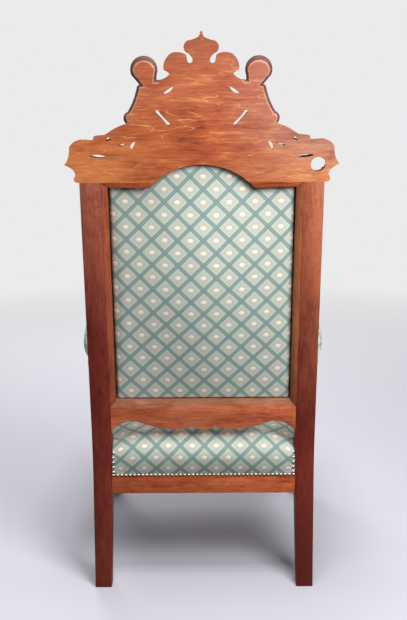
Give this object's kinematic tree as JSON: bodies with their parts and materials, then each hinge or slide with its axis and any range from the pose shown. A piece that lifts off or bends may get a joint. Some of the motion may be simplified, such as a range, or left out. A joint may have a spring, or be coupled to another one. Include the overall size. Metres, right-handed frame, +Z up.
{
  "type": "armchair",
  "caption": "High-backed oak armchair with a fretted and carved crest, turned front legs, scrolled arms and a stuffed seat, back and arm pads in diamond trellis cloth.",
  "frame": {"origin": "on the floor, at the middle of the chair's bounding box", "axes": "+Z up, -Y the way the chair faces, +X to the sitter's left"},
  "size_m": [0.6854, 0.757, 1.4788],
  "materials": {
    "oak_frame": "varnished",
    "oak_crest": "varnished",
    "beech": "raw",
    "cloth": "woven",
    "webbing": "woven",
    "hessian": "woven"
  },
  "bodies": {
    "root": {"back_post_left": "oak_frame", "back_post_right": "oak_frame", "lower_back_rail": "oak_frame", "bead_side_left": "oak_frame", "bead_side_right": "oak_frame", "bead_top_left": "oak_frame", "bead_top_right": "oak_frame", "rear_seat_rail": "oak_frame", "front_seat_rail": "oak_frame", "side_seat_rail_left": "oak_frame", "side_seat_rail_right": "oak_frame", "front_leg_left": "oak_frame", "front_leg_right": "oak_frame", "arm_left": "oak_frame", "arm_right": "oak_frame", "crest_board": "oak_crest", "corner_block_front_left": "beech", "corner_block_front_right": "beech", "corner_block_rear_left": "beech", "corner_block_rear_right": "beech", "seat_pad": "cloth", "back_pad_rear": "cloth", "back_pad_front": "cloth", "arm_pad_left": "cloth", "arm_pad_right": "cloth", "seat_webbing_across": "webbing", "seat_webbing_long": "webbing", "back_webbing_across": "webbing", "back_webbing_upright": "webbing", "seat_hessian": "hessian"}
  },
  "joints": []
}
